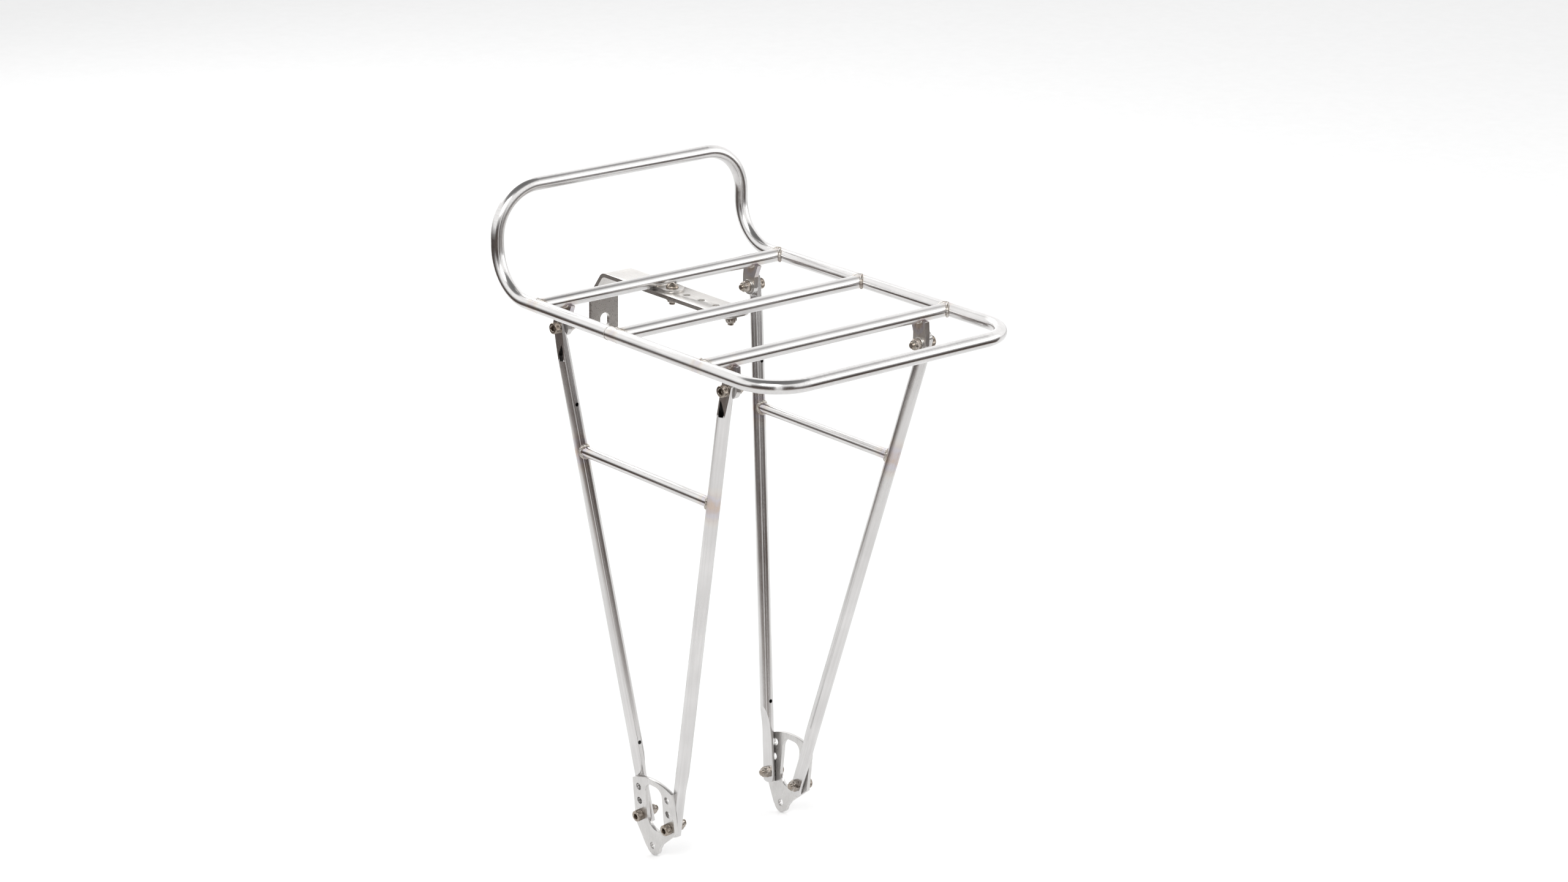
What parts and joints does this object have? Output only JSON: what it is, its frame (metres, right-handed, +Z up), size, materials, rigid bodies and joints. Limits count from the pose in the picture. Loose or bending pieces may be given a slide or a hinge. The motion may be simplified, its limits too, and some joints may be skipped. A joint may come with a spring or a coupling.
{
  "type": "bicycle luggage rack",
  "caption": "Tubular bicycle luggage rack with a raised hoop, cross tubes, bolted lean-in legs, drilled dropout plates and a slotted crown bracket.",
  "frame": {"origin": "midpoint between the two dropout eyelet holes", "axes": "+Z up to the platform; +Y towards the raised hoop and the crown bracket; +X across, along the eyelet axis"},
  "size_m": [0.24, 0.3366, 0.5012],
  "materials": {
    "polished_tube": "polished stainless steel tube",
    "plate_steel": "satin stainless steel plate",
    "fastener_steel": "bright stainless steel fasteners",
    "nylon": "natural nylon locking rings"
  },
  "bodies": {
    "root": {"hoop": "polished_tube", "cross_tube_rear": "polished_tube", "cross_tube_middle": "polished_tube", "cross_tube_front": "polished_tube", "leg_tab_rear_left": "plate_steel", "leg_tab_rear_right": "plate_steel", "leg_tab_front_left": "plate_steel", "leg_tab_front_right": "plate_steel", "bracket_tab_rear": "plate_steel", "bracket_tab_middle": "plate_steel", "crown_bracket": "plate_steel", "leg_rear_left": "polished_tube", "leg_rear_right": "polished_tube", "leg_front_left": "polished_tube", "leg_front_right": "polished_tube", "brace_left": "polished_tube", "brace_right": "polished_tube", "dropout_plate_left": "plate_steel", "dropout_plate_right": "plate_steel", "cap_screws_upper_left": "fastener_steel", "cap_screws_upper_right": "fastener_steel", "washers_upper_left": "fastener_steel", "washers_upper_right": "fastener_steel", "lock_nuts_upper_left": "fastener_steel", "lock_nuts_upper_right": "fastener_steel", "cap_screws_lower_left": "fastener_steel", "cap_screws_lower_right": "fastener_steel", "lock_nuts_lower_left": "fastener_steel", "lock_nuts_lower_right": "fastener_steel", "button_screws_bracket": "fastener_steel", "washers_bracket": "fastener_steel", "lock_nuts_bracket": "fastener_steel", "nylon_inserts": "nylon"}
  },
  "joints": []
}
